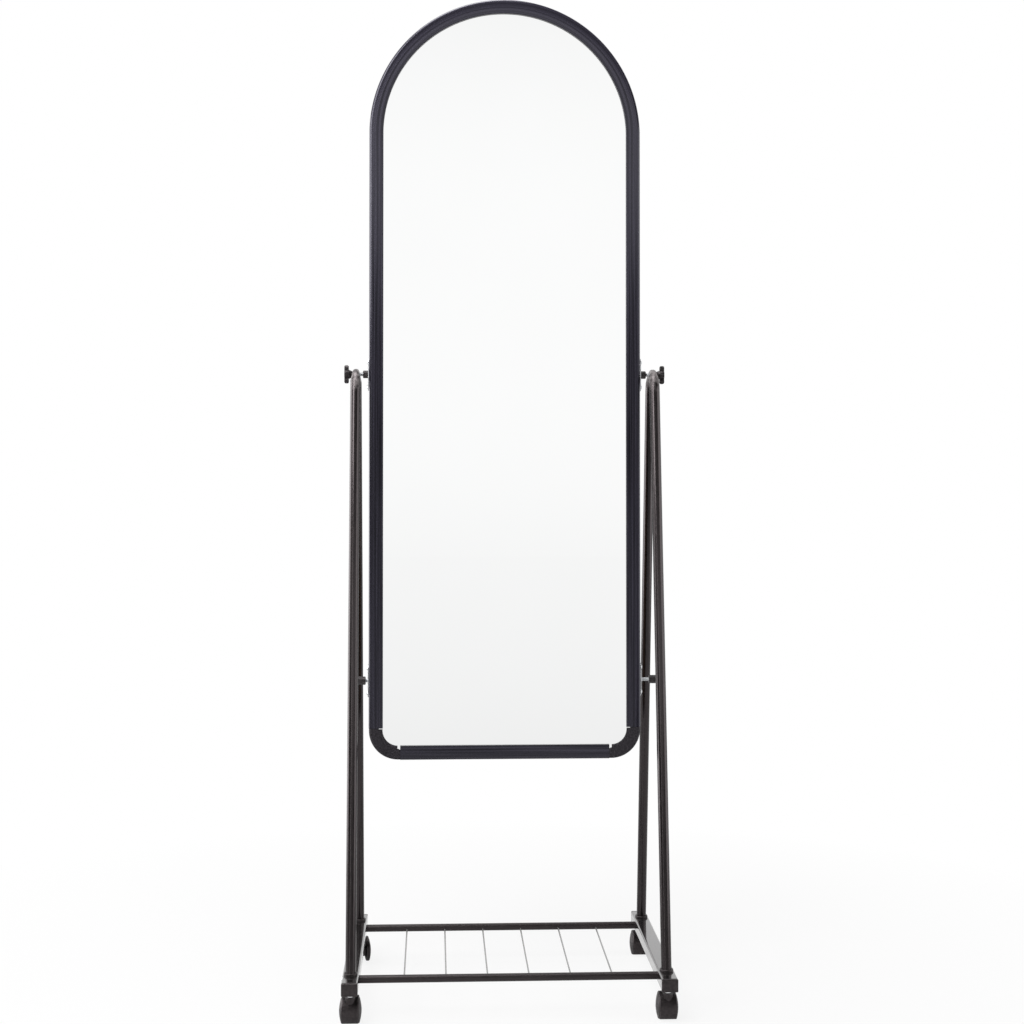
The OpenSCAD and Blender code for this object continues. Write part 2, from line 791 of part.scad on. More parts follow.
arch_channel();
bottom_rail();
elbow(-1);  // elbow_left
elbow(1);  // elbow_right
mirror_glass();
backing_board();
bracket(-1, pivot_z);  // bracket_upper_left
bracket(1, pivot_z);  // bracket_upper_right
bracket(-1, stop_z);  // bracket_lower_left
bracket(1, stop_z);  // bracket_lower_right
bracket_screws();
stud(-1, pivot_z, knob_x + knob_grip - plate_face_x);  // pivot_stud_left
stud(1, pivot_z, knob_x + knob_grip - plate_face_x);  // pivot_stud_right
stud(-1, stop_z, stop_stud_l);  // stop_stud_left
stud(1, stop_z, stop_stud_l);  // stop_stud_right
star_nut(-1);  // star_nut_left
star_nut(1);  // star_nut_right
tilt_stop(-1);  // tilt_stop_left
tilt_stop(1);  // tilt_stop_right
wing_knob(-1);  // wing_knob_left
wing_knob(1);  // wing_knob_right
leg_frame(-1);  // leg_frame_left
leg_frame(1);  // leg_frame_right
side_rail(-1);  // side_rail_left
side_rail(1);  // side_rail_right
end_plug(-1, -1);  // end_plug_front_left
end_plug(1, -1);  // end_plug_front_right
end_plug(-1, 1);  // end_plug_rear_left
end_plug(1, 1);  // end_plug_rear_right
leg_collar(-1, -1);  // leg_collar_front_left
leg_collar(1, -1);  // leg_collar_front_right
leg_collar(-1, 1);  // leg_collar_rear_left
leg_collar(1, 1);  // leg_collar_rear_right
crossbar(-1);  // crossbar_front
crossbar(1);  // crossbar_rear
shelf_wires();
crossbar_bolts();
caster_stem(-1, -1);  // caster_stem_front_left
caster_stem(1, -1);  // caster_stem_front_right
caster_stem(-1, 1);  // caster_stem_rear_left
caster_stem(1, 1);  // caster_stem_rear_right
caster_hood(-1, -1, 0);  // caster_hood_front_left
caster_hood(1, -1, 0);  // caster_hood_front_right
caster_hood(-1, 1, rear_left_swing);  // caster_hood_rear_left
caster_hood(1, 1, 0);  // caster_hood_rear_right
axle(-1, -1, 0);  // axle_front_left
axle(1, -1, 0);  // axle_front_right
axle(-1, 1, rear_left_swing);  // axle_rear_left
axle(1, 1, 0);  // axle_rear_right
wheel(-1, -1, 0, -1);  // wheel_front_left_inner
wheel(-1, -1, 0, 1);  // wheel_front_left_outer
wheel(1, -1, 0, -1);  // wheel_front_right_inner
wheel(1, -1, 0, 1);  // wheel_front_right_outer
wheel(-1, 1, rear_left_swing, -1);  // wheel_rear_left_inner
wheel(-1, 1, rear_left_swing, 1);  // wheel_rear_left_outer
wheel(1, 1, 0, -1);  // wheel_rear_right_inner
wheel(1, 1, 0, 1);  // wheel_rear_right_outer
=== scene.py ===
import json
import math

import bmesh
import bpy
from mathutils import Matrix, Vector

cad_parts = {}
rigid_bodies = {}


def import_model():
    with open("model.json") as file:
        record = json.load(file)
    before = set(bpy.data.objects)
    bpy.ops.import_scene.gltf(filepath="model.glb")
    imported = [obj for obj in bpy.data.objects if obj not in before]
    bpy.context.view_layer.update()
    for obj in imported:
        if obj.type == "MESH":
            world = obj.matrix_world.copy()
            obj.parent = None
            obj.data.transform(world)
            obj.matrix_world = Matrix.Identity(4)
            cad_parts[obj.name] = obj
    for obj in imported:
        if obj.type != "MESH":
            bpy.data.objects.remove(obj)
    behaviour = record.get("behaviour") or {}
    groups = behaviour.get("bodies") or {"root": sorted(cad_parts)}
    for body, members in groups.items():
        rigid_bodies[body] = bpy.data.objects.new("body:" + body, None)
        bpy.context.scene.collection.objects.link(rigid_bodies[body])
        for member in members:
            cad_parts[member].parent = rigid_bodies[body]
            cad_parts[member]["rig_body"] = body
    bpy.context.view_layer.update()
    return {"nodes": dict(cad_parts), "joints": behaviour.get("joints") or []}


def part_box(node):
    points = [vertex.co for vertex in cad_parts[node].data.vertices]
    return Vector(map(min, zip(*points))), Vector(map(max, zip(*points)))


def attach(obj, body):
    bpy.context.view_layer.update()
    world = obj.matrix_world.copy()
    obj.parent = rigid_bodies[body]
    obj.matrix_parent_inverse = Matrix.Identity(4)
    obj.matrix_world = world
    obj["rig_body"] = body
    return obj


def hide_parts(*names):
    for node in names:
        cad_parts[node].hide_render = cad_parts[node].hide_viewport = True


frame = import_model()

# Camera
# The mirror is seen from the front, a little from the left and from about half its height.
# The frame is shifted down, so that the casters show with the camera almost level.
camera_place = Vector((-0.116, -2.811, 0.836))
level_view = math.radians(90)
look_up = math.radians(0.85)
look_right = math.radians(2.60)
camera_data = bpy.data.cameras.new("camera")
camera_data.sensor_width = 36
camera_data.lens = 60.9
camera_data.shift_y = -0.0654
camera = bpy.data.objects.new("camera", camera_data)
camera.location = camera_place
camera.rotation_euler = (level_view + look_up, 0, -look_right)
bpy.context.scene.collection.objects.link(camera)
bpy.context.scene.camera = camera
bpy.context.scene.view_settings.view_transform = "Standard"


# Floor
# A pale, matt studio floor that fades to white away from the mirror and keeps its shadow. The
# glass sees it a little dimmer from about two metres in front.
class Value:
    """A socket in a tree of nodes. Sums on it add Math nodes."""

    def __init__(self, tree, socket):
        self.tree = tree
        self.socket = socket

    def output(self, name):
        return Value(self.tree, self.socket.node.outputs[name])

    def math(self, operation, *terms):
        return self.tree.node("ShaderNodeMath", {"operation": operation}, dict(enumerate(terms)))

    def __add__(self, other):
        return self.math("ADD", self, other)

    def __sub__(self, other):
        return self.math("SUBTRACT", self, other)

    def __mul__(self, other):
        return self.math("MULTIPLY", self, other)

    def __truediv__(self, other):
        return self.math("DIVIDE", self, other)

    def __mod__(self, other):
        return self.math("MODULO", self, other)

    def __lt__(self, other):
        return self.math("LESS_THAN", self, other)

    def __gt__(self, other):
        return self.math("GREATER_THAN", self, other)

    def __rsub__(self, other):
        return self.math("SUBTRACT", other, self)

    def __rtruediv__(self, other):
        return self.math("DIVIDE", other, self)

    def __neg__(self):
        return self * -1

    def __abs__(self):
        return self.math("ABSOLUTE", self)

    __radd__ = __add__
    __rmul__ = __mul__

    def at_least(self, other):
        return self.math("MAXIMUM", self, other)

    def at_most(self, other):
        return self.math("MINIMUM", self, other)

    def clamped(self):
        return self.at_least(0).at_most(1)

    def floored(self):
        return self.math("FLOOR", self)

    def root(self):
        return self.math("SQRT", self)

    def wave(self):
        return self.math("SINE", self)


class Tree:
    """Adds nodes to the tree of a material, the world or a shape."""

    def __init__(self, node_tree):
        self.nodes = node_tree.nodes
        self.links = node_tree.links

    def node(self, kind, settings=None, sockets=None, out=0):
        """One node: its settings first, then the values or links of its sockets."""
        made = self.nodes.new(kind)
        for name, setting in (settings or {}).items():
            if name == "stops":
                self.set_stops(made.color_ramp.elements, setting)
            else:
                setattr(made, name, setting)
        for name, value in (sockets or {}).items():
            self.feed(made.inputs[name], value)
        return Value(self, made.outputs[out])

    def feed(self, socket, value):
        if isinstance(value, Value):
            self.links.new(value.socket, socket)
        else:
            socket.default_value = value

    def set_stops(self, elements, stops):
        for place, level in stops[1:-1]:
            elements.new(place).color = (level, level, level, 1)
        for element, (place, level) in ((elements[0], stops[0]), (elements[-1], stops[-1])):
            element.position = place
            element.color = (level, level, level, 1)

    def seen(self, in_gloss):
        """1 for what the camera, a mirror and glass see, in_gloss for a soft gloss, and 0 for light."""
        rays = self.node("ShaderNodeLightPath")
        soft = 1 - rays.output("Is Singular Ray")
        gloss = rays.output("Is Glossy Ray") * (1 - (1 - in_gloss) * soft)
        shown = rays.output("Is Camera Ray").at_least(rays.output("Is Transmission Ray"))
        return shown.at_least(gloss)


class Finish(Tree):
    """A material with the shader's fixed values; its patterns are added after."""

    def __init__(self, name, **fixed):
        self.material = bpy.data.materials.new(name)
        self.material.use_nodes = True
        super().__init__(self.material.node_tree)
        self.shader = self.nodes["Principled BSDF"]
        for socket, value in fixed.items():
            self.shader.inputs[socket.replace("_", " ")].default_value = value
        self.place = self.node("ShaderNodeTexCoord").output("Object")

    def varies(self, socket, value):
        self.feed(self.shader.inputs[socket], value)

    def axes(self):
        split = self.node("ShaderNodeSeparateXYZ", {}, {0: self.place})
        return split.output("X"), split.output("Y"), split.output("Z")

    def vector(self, x, y, z):
        return self.node("ShaderNodeCombineXYZ", {}, {0: x, 1: y, 2: z})

    def noise(self, scale, detail, place=None):
        sockets = {"Vector": place or self.place, "Scale": scale, "Detail": detail}
        return self.node("ShaderNodeTexNoise", {}, sockets)

    def ramp(self, value, *stops):
        return self.node("ShaderNodeValToRGB", {"stops": stops}, {0: value})

    def blend(self, factor, first, second):
        sockets = {0: factor, 6: first, 7: second}
        return self.node("ShaderNodeMix", {"data_type": "RGBA"}, sockets, out=2)

    def relief(self, height, depth, strength):
        sockets = {"Height": height, "Distance": depth, "Strength": strength}
        self.varies("Normal", self.node("ShaderNodeBump", {}, sockets))


floor_half = 14.0
floor_grey = (0.40, 0.40, 0.40, 1)
open_level = 0.96
front_dip = 0.17
dip_end = 1.5
full_glow = 0.6
glow_fade = 1.8
shadow_r = 0.35
near_white = 0.86
gloss_white = 0.30

floor_finish = Finish("floor", Roughness=0.9, Specular_IOR_Level=0.2, Base_Color=floor_grey)
floor_x, floor_y, _ = floor_finish.axes()
in_front = open_level - front_dip / (-floor_y).at_least(dip_end)
close_by = (1 + (floor_y + full_glow) / glow_fade).clamped()
straight = floor_finish.node("ShaderNodeLightPath").output("Is Camera Ray")
floor_level = (in_front + close_by * (1 - in_front)).at_least(straight)
floor_glow = floor_finish.node("ShaderNodeEmission", {}, {"Color": (1, 1, 1, 1), "Strength": floor_level})
far_off = ((floor_x * floor_x + floor_y * floor_y).root() - shadow_r).clamped()
floor_mix = floor_finish.node("ShaderNodeMixShader", {}, {
    0: floor_finish.seen(gloss_white) * (near_white + (1 - near_white) * far_off),
    1: Value(floor_finish, floor_finish.shader.outputs[0]),
    2: floor_glow,
})
floor_finish.feed(floor_finish.nodes["Material Output"].inputs["Surface"], floor_mix)

floor_mesh = bpy.data.meshes.new("floor")
floor_mesh.from_pydata([
    (-floor_half, -floor_half, 0), (floor_half, -floor_half, 0),
    (floor_half, floor_half, 0), (-floor_half, floor_half, 0),
], [], [(0, 1, 2, 3)])
floor_mesh.materials.append(floor_finish.material)
floor = bpy.data.objects.new("floor", floor_mesh)
bpy.context.scene.collection.objects.link(floor)


# Studio light
# White to the camera, and in the glass a little dimmer high and low. A soft gloss sees a darker
# room, with a pale band in front and a pale wall behind. Softboxes above and at the sides draw
# the lines down the black tubes, and the glass shows none of them.
ambient = 0.55
white_z = 0.10
white_half = 0.045
dimming = 4.3
most_dimmed = 0.3
band_z = 0.185
band_up = 0.052
band_down = 0.075
facing_from = 0.8
facing_rise = 8
behind_rise = 3
room_level = 0.07
front_level = 0.26
back_level = 0.93
band_level = 1.2

world = bpy.data.worlds.new("studio")
world.use_nodes = True
bpy.context.scene.world = world
sky = Tree(world.node_tree)
way = sky.node("ShaderNodeSeparateXYZ", {}, {0: sky.node("ShaderNodeTexCoord").output("Generated")})
way_y = way.output("Y")
way_z = way.output("Z")
ahead = (way_y * -2).clamped()
off_level = (abs(way_z - white_z) - white_half).at_least(0)
white = 1 - ahead * (off_level * off_level * dimming).at_most(most_dimmed)
off_band = ((way_z - band_z) / band_up).at_least((band_z - way_z) / band_down)
band = ahead * (1 - off_band * off_band).at_least(0)
facing = ((-way_y - facing_from) * facing_rise).clamped()
behind_it = (way_y * behind_rise).clamped()
dim = room_level + front_level * facing + back_level * behind_it + band_level * band

rays = sky.node("ShaderNodeLightPath")
sharp = rays.output("Is Singular Ray")
gloss = rays.output("Is Glossy Ray") * (1 - sharp)
clear = rays.output("Is Camera Ray").at_least(rays.output("Is Transmission Ray"))
mirrored = rays.output("Is Glossy Ray") * sharp
strength = clear + mirrored * white + gloss * dim + (1 - clear - gloss - mirrored) * ambient
sky.feed(sky.nodes["Background"].inputs["Strength"], strength)
sky.feed(sky.nodes["Background"].inputs["Color"], (1, 1, 1, 1))

missed_by_lamps = bpy.data.collections.new("missed_by_lamps")


def softbox(name, place, aim, width, height, watts):
    """A flat lamp of that size, turned to face its aim, out of sight of the camera."""
    lamp = bpy.data.lights.new(name, "AREA")
    lamp.shape = "RECTANGLE"
    lamp.size = width
    lamp.size_y = height
    lamp.energy = watts
    box = bpy.data.objects.new(name, lamp)
    box.location = place
    box.rotation_euler = (Vector(aim) - Vector(place)).to_track_quat("-Z", "Y").to_euler()
    box.visible_camera = False
    box.light_linking.receiver_collection = missed_by_lamps
    bpy.context.scene.collection.objects.link(box)
    return box


key_light = softbox("key_light", (-0.9, -2.0, 2.9), (0, 0, 1.1), width=1.8, height=1.4, watts=80)
key_light.visible_glossy = False
softbox("top_light", (-0.5, -0.2, 3.3), (0, 0, 0.9), width=1.4, height=1.4, watts=50)
softbox("crown_light", (-1.0, -1.0, 1.8), (-0.1, 0, 1.0), width=0.8, height=1.3, watts=26)
softbox("left_light", (-2.6, 0.65, 1.1), (0, 0, 0.9), width=2.4, height=2.2, watts=75)
softbox("strip_light", (-1.4, -2.8, 1.0), (0, 0, 0.9), width=0.3, height=2.2, watts=6)
softbox("right_light", (2.5, -0.7, 1.0), (0, 0, 0.8), width=2.4, height=2.0, watts=33)


# Casters: the wheels
# Each caster has two wheels. A wheel is one moulding of hard black nylon with a domed face, a
# groove inside the tread and a small cap over the end of the axle.
mm = 0.001
corners = ("front_left", "front_right", "rear_left", "rear_right")
joints = {joint["name"]: joint for joint in frame["joints"]}


def finished(name, mesh, finish, sharp=35):
    """A new piece from a mesh in place, smooth apart from its sharp edges."""
    mesh.materials.clear()
    mesh.materials.append(finish.material)
    mesh.shade_smooth()
    mesh.set_sharp_from_angle(angle=math.radians(sharp))
    piece = bpy.data.objects.new(name, mesh)
    bpy.context.scene.collection.objects.link(piece)
    return piece


def fixed_to(piece, body, slot, *nodes):
    """Lets a piece ride on its body, in place of the frame's own solids."""
    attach(piece, body)
    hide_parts(*nodes)


def all_round(steps):
    """Angles of evenly spaced points on a circle."""
    return [2 * math.pi * k / steps for k in range(steps)]


def lofted(rings, place):
    """Closed skin over rings of points, moved by place. A ring of one point is a pole."""
    shape = bmesh.new()
    steps = max(len(ring) for ring in rings)
    loops = []
    for ring in rings:
        points = [shape.verts.new(point) for point in ring]
        loops.append(points * (steps // len(points)))
    for low, high in zip(loops, loops[1:]):
        for k in range(steps):
            near = (k + 1) % steps
            # Beside a pole two of the four corners are one, and fromkeys keeps it once.
            shape.faces.new(dict.fromkeys((low[k], low[near], high[near], high[k])))
    for ring, loop in ((rings[0], loops[0]), (rings[-1], loops[-1])):
        if len(ring) > 1:
            shape.faces.new(loop)
    bmesh.ops.recalc_face_normals(shape, faces=shape.faces)
    mesh = bpy.data.meshes.new("lofted")
    shape.to_mesh(mesh)
    shape.free()
    mesh.transform(place)
    return mesh


def turned(profile, place, steps=64):
    """Mesh turned from (radius, height) points; place puts its axis and base where they belong."""
    rings = []
    for radius, height in profile:
        angles = all_round(steps if radius else 1)
        rings.append([(radius * math.cos(a), radius * math.sin(a), height) for a in angles])
    return lofted(rings, place)


def arc(centre, radius, start, stop, steps):
    """Points of a round stretch of a profile, from one angle in degrees to another."""
    angles = (math.radians(start + (stop - start) * k / steps) for k in range(steps + 1))
    return [(centre[0] + radius * math.cos(a), centre[1] + radius * math.sin(a)) for a in angles]


def along(axis):
    """Turn that brings +Z to an axis."""
    return Vector(axis).to_track_quat("Z", "Y").to_matrix().to_4x4()


warm_sheen = (1.0, 0.88, 0.91, 1)
wheel_black = (0.004, 0.004, 0.004, 1)
wheel_scuffed = (0.011, 0.010, 0.010, 1)
wheel_nylon = Finish("wheel_nylon", IOR=1.5, Specular_Tint=warm_sheen)
scuffs = wheel_nylon.noise(scale=160, detail=4)
worn = wheel_nylon.ramp(scuffs, (0.35, 0), (0.75, 1))
wheel_nylon.varies("Base Color", wheel_nylon.blend(worn, wheel_black, wheel_scuffed))
wheel_nylon.varies("Roughness", 0.36 + 0.16 * scuffs)
wheel_nylon.relief(wheel_nylon.noise(scale=2600, detail=2), depth=0.06 * mm, strength=0.6)

wheel_low, wheel_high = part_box("wheel_front_left_outer")
tread_r = (wheel_high.z - wheel_low.z) / 2
wheel_in = 8.4 * mm
wheel_face = 14.4 * mm
dome = 2.6 * mm
rim_round = 2.0 * mm
cup_depth = 4 * mm
hub_r = 5 * mm
rim_in = 15.5 * mm
bore_r = 2.56 * mm
bore_depth = 3 * mm
seam_half = 0.3 * mm
seam_depth = 0.25 * mm
groove_r = 14.2 * mm
groove_w = 0.9 * mm
groove_depth = 0.45 * mm
face_rings = (12 * mm, 10 * mm, 8 * mm)
cap_r = 5.5 * mm
cap_proud = 0.1 * mm
cap_fall = 0.02 * mm
slit_w = 0.3 * mm
slit_depth = 0.35 * mm
dome_r = ((tread_r - rim_round) ** 2 + dome ** 2) / (2 * dome)


def dome_height(radius):
    """Height of the domed face at a distance from the axle."""
    return wheel_face + dome - dome_r + math.sqrt(dome_r ** 2 - radius ** 2)


def wheel_profile():
    """From the bore, out along the hollow inner side, round the tread and over the domed face."""
    cup_floor = wheel_in + cup_depth
    bore_end = cup_floor + bore_depth
    middle = (wheel_in + wheel_face) / 2
    top = wheel_face + dome
    cup = [(0, bore_end), (bore_r, bore_end), (bore_r, wheel_in), (hub_r, wheel_in),
           (hub_r, cup_floor), (rim_in, cup_floor), (rim_in, wheel_in)]
    tread = arc((tread_r - rim_round, wheel_in + rim_round), rim_round, -90, 0, 6)
    tread += [(tread_r, middle - seam_half), (tread_r - seam_depth, middle), (tread_r, middle + seam_half)]
    tread += arc((tread_r - rim_round, wheel_face - rim_round), rim_round, 0, 90, 6)
    groove = [(groove_r + groove_w, dome_height(groove_r + groove_w)),
              (groove_r, dome_height(groove_r) - groove_depth)]
    face_radii = (groove_r - groove_w, *face_rings, cap_r + 2 * slit_w, cap_r)
    face = [(radius, dome_height(radius)) for radius in face_radii]
    cap = [(cap_r, dome_height(cap_r) - slit_depth), (cap_r - slit_w, dome_height(cap_r) + cap_proud),
           (cap_r / 2, top - cap_fall), (0, top)]
    return cup + tread + groove + face + cap


for corner in corners:
    for row in ("inner", "outer"):
        low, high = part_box(f"wheel_{corner}_{row}")
        axle_low, axle_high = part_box(f"axle_{corner}")
        hub = (axle_low + axle_high) / 2
        outwards = Vector(joints[f"roll_{corner}_{row}"]["axis"]).normalized()
        if ((low + high) / 2 - hub) @ outwards < 0:
            outwards.negate()
        wheel = turned(wheel_profile(), Matrix.Translation(hub) @ along(outwards))
        fixed_to(finished(f"nylon_wheel_{corner}_{row}", wheel, wheel_nylon, 28),
                 f"wheel_{corner}_{row}", "wheel_plastic", f"wheel_{corner}_{row}")


# Casters: the axles
# A plain drawn steel pin is pressed through the web of each hood, and both wheels turn on its
# ends. Nothing of it shows once the wheels are on.
pin_dull = (0.42, 0.42, 0.43, 1)
pin_bright = (0.60, 0.60, 0.61, 1)
steel_pin = Finish("steel_pin", Metallic=1.0)
pin_drawn = steel_pin.noise(scale=900, detail=3)
steel_pin.varies("Base Color", steel_pin.blend(pin_drawn, pin_dull, pin_bright))
steel_pin.varies("Roughness", 0.22 + 0.18 * pin_drawn)
weld_gap = 0.001 * mm
flat_within = math.radians(0.2)


def from_frame(node, name, finish, slot, edge=0.25 * mm, sharp=30):
    """The frame's own shape as one closed skin, with its sharp edges broken as wide as edge."""
    source = frame["nodes"][node]
    shape = bmesh.new()
    shape.from_mesh(source.data)
    bmesh.ops.remove_doubles(shape, verts=shape.verts, dist=weld_gap)
    bmesh.ops.dissolve_limit(shape, angle_limit=flat_within, verts=shape.verts, edges=shape.edges)
    mesh = bpy.data.meshes.new(name)
    shape.to_mesh(mesh)
    shape.free()
    if "custom_normal" in mesh.attributes:
        mesh.attributes.remove(mesh.attributes["custom_normal"])
    piece = finished(name, mesh, finish, sharp)
    bevel = piece.modifiers.new("broken_edges", "BEVEL")
    bevel.width = edge
    bevel.segments = 2
    bevel.limit_method = "ANGLE"
    bevel.angle_limit = math.radians(sharp)
    bevel.harden_normals = True
    fixed_to(piece, source["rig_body"], slot, node)
    return piece


for corner in corners:
    from_frame(f"axle_{corner}", f"axle_pin_{corner}", steel_pin, "zinc")


# Casters: the hoods
# Hood, web and neck are one moulding of black nylon with a fine spark-eroded grain. The hood
# covers the front and top of both wheels and leaves them open behind and below.
hood_black = (0.001, 0.001, 0.001, 1)
hood_grey = (0.013, 0.011, 0.011, 1)
hood_nylon = Finish("hood_nylon", IOR=1.5, Specular_Tint=warm_sheen)
hood_cloud = hood_nylon.ramp(hood_nylon.noise(scale=260, detail=4), (0.36, 0), (0.66, 1))
hood_grain = hood_nylon.noise(scale=3200, detail=2)
hood_nylon.varies("Base Color", hood_nylon.blend(hood_cloud, hood_black, hood_grey))
hood_nylon.varies("Roughness", 0.34 + 0.14 * hood_grain)
hood_nylon.relief(hood_grain, depth=0.08 * mm, strength=0.7)
for corner in corners:
    from_frame(f"caster_hood_{corner}", f"hood_moulding_{corner}", hood_nylon, "caster_plastic", 0.4 * mm)


# Casters: the stems
# Turned steel stems, brightly plated and held in the end plugs. The hoods turn on their lower
# ends. Only the collar between the rail and the hood can be seen, as a pale glint.
plate_dull = (0.80, 0.81, 0.82, 1)
plate_bright = (0.96, 0.96, 0.97, 1)
bright_plate = Finish("bright_plate", Metallic=1.0, Roughness=0.0)
turning_marks = bright_plate.noise(scale=900, detail=2)
bright_plate.varies("Base Color", bright_plate.blend(turning_marks, plate_dull, plate_bright))
bright_plate.relief(turning_marks, depth=0.02 * mm, strength=0.3)
for corner in corners:
    from_frame(f"caster_stem_{corner}", f"stem_pin_{corner}", bright_plate, "zinc", 0.3 * mm)


# End plugs
# Injection-moulded plugs of black polypropylene close both ends of each rail, held by friction.
# Their faces are finely grained and a little greyer than the paint beside them.
plug_black = (0.002, 0.002, 0.002, 1)
plug_grey = (0.014, 0.012, 0.012, 1)
plug_plastic = Finish("plug_plastic", IOR=1.48, Specular_Tint=warm_sheen)
plug_cloud = plug_plastic.ramp(plug_plastic.noise(scale=280, detail=4), (0.36, 0), (0.66, 1))
plug_grain = plug_plastic.noise(scale=2400, detail=3)
plug_plastic.varies("Base Color", plug_plastic.blend(plug_cloud, plug_black, plug_grey))
plug_plastic.varies("Roughness", 0.38 + 0.16 * plug_grain)
plug_plastic.relief(plug_grain, depth=0.08 * mm, strength=0.6)
for corner in corners:
    from_frame(f"end_plug_{corner}", f"rail_plug_{corner}", plug_plastic, "plug_plastic", 0.3 * mm)


# Side rails
# Rectangular steel tubes, cut to length, drilled, and sprayed with the glossiest paint of the
# whole stand, so that their tops mirror the floor and the legs.
rail_black = (0.004, 0.004, 0.004, 1)
rail_grey = (0.009, 0.008, 0.008, 1)


def drag_lines(finish, scale, detail, fine):
    """Streaks of drawing or spraying; fine holds how much finer they are across X, Y and Z."""
    x, y, z = finish.axes()
    return finish.noise(scale, detail, finish.vector(x * fine[0], y * fine[1], z * fine[2]))


rail_paint = Finish("rail_paint", IOR=1.45, Specular_Tint=warm_sheen, Coat_Weight=0.8, Coat_Roughness=0.0)
rail_drag = drag_lines(rail_paint, scale=60, detail=3, fine=(6, 0.5, 6))
rail_peel = rail_paint.noise(scale=420, detail=1)
rail_paint.varies("Base Color", rail_paint.blend(rail_drag, rail_black, rail_grey))
rail_paint.varies("Roughness", 0.10 + 0.10 * rail_drag)
rail_paint.relief(rail_peel, depth=0.04 * mm, strength=0.25)
for side in ("left", "right"):
    from_frame(f"side_rail_{side}", f"painted_rail_{side}", rail_paint, "gloss_rail", 0.15 * mm)


# Leg tubes
# One steel tube a side, bent into a hairpin, with its top pressed to an oval for the pivot, and
# powder coated. The paint has a little orange peel and is drawn lengthwise by the tube's grain.
# Round the pressed top it is duller, and it carries a painted highlight of lighter grey.
paint_black = (0.0005, 0.0005, 0.0005, 1)
paint_grey = (0.009, 0.0075, 0.0075, 1)
# Painted highlight: this lighter grey stands in for the light that falls on the pressed tops.
painted_highlight_grey = (0.11, 0.10, 0.10, 1)


def drawn_paint(name, fine):
    """Black paint over drawn steel. Gives the paint, its streaks and the tone that follows them."""
    paint = Finish(name, IOR=1.5, Specular_Tint=warm_sheen)
    drag = drag_lines(paint, scale=40, detail=3, fine=fine)
    paint.relief(paint.noise(scale=520, detail=2), depth=0.05 * mm, strength=0.35)
    return paint, drag, paint.blend(drag, paint_black, paint_grey)


tube_r = 8 * mm
bend_r = 30 * mm
pinch_half = 5.5 * mm
press_r = 115.2 * mm
press_fade = 20 * mm
widening = 0.35
squaring = 1.6
foot_y = 160.5 * mm
foot_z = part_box("side_rail_left")[1].z
tube_tail = 10 * mm
straight_steps = 24
bend_steps = 72
pivot_z = joints["mirror_tilt"]["pos_m"][2]
bend_z = pivot_z - bend_r
drop = bend_z - foot_z
lean = math.acos(bend_r / math.hypot(foot_y, drop)) - math.atan2(drop, foot_y)
tangent_y = bend_r * math.cos(lean)
tangent_z = bend_z + bend_r * math.sin(lean)
leg_l = (tangent_z - foot_z + tube_tail) / math.cos(lean)

tube_paint, tube_drag, tube_tone = drawn_paint("tube_paint", (9, 9, 0.4))
pressed_here = ((tube_paint.axes()[2] - bend_z) / press_fade).clamped()
# Painted highlight: lighter grey blotches over the pressed top, in place of the light it catches.
painted_highlight = pressed_here * tube_paint.ramp(tube_paint.noise(scale=130, detail=3), (0.30, 0), (0.62, 1))
tube_paint.varies("Base Color", tube_paint.blend(painted_highlight, tube_tone, painted_highlight_grey))
tube_paint.varies("Roughness", 0.08 + 0.16 * tube_drag + 0.16 * pressed_here)


def hairpin():
    """Points of the tube's line and its outward normals, from the front foot over to the rear one."""
    down = Vector((0, -math.sin(lean), -math.cos(lean)))
    front = Vector((0, -math.cos(lean), math.sin(lean)))
    top = Vector((0, -tangent_y, tangent_z))
    leg = [(top + down * leg_l * k / straight_steps, front) for k in range(straight_steps, 0, -1)]
    bend = []
    for k in range(bend_steps + 1):
        angle = math.pi - lean - (math.pi - 2 * lean) * k / bend_steps
        normal = Vector((0, math.cos(angle), math.sin(angle)))
        bend.append((Vector((0, 0, bend_z)) + normal * bend_r, normal))
    flip = Vector((1, -1, 1))
    return leg + bend + [(point * flip, normal * flip) for point, normal in reversed(leg)]


def squarer(share, power):
    """A cosine or sine, for a circle drawn out towards a square by a power under 1."""
    return math.copysign(abs(share) ** power, share)


def leg_mesh(place, steps=48):
    """The tube's skin. Where the press thins it, the section widens a little and turns squarer."""
    rings = []
    for point, normal in hairpin():
        half = tube_r
        if point.z > bend_z:
            half = min(tube_r, pinch_half + point.y ** 2 / (2 * press_r))
        squash = 1 - half / tube_r
        wide = tube_r * (1 + widening * squash)
        power = 1 / (1 + squaring * squash)
        ring = []
        for angle in all_round(steps):
            across = squarer(math.cos(angle), power) * half
            out = squarer(math.sin(angle), power) * wide
            ring.append(Vector((across, 0, 0)) + point + normal * out)
        rings.append(ring)
    return lofted(rings, place)


for side in ("left", "right"):
    tube_low, tube_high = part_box(f"leg_frame_{side}")
    tube = leg_mesh(Matrix.Translation(((tube_low.x + tube_high.x) / 2, 0, 0)))
    fixed_to(finished(f"bent_tube_{side}", tube, tube_paint, 50), "stand", "black_tube", f"leg_frame_{side}")


# Leg collars
# Push-fit rings of black plastic hide the holes where the legs enter the rails. They are moulded
# in the same plastic as the end plugs.
for corner in corners:
    from_frame(f"leg_collar_{corner}", f"collar_ring_{corner}", plug_plastic, "plug_plastic", 0.4 * mm)


# Crossbars
# Thin round steel tubes from rail to rail, with a threaded insert in each end. They get the same
# paint as the legs, a little duller.
bar_paint, bar_drag, bar_tone = drawn_paint("bar_paint", (0.4, 9, 9))
bar_paint.varies("Base Color", bar_tone)
bar_paint.varies("Roughness", 0.34 + 0.20 * bar_drag)
for end in ("front", "rear"):
    from_frame(f"crossbar_{end}", f"painted_crossbar_{end}", bar_paint, "black_tube", 0.2 * mm, 40)


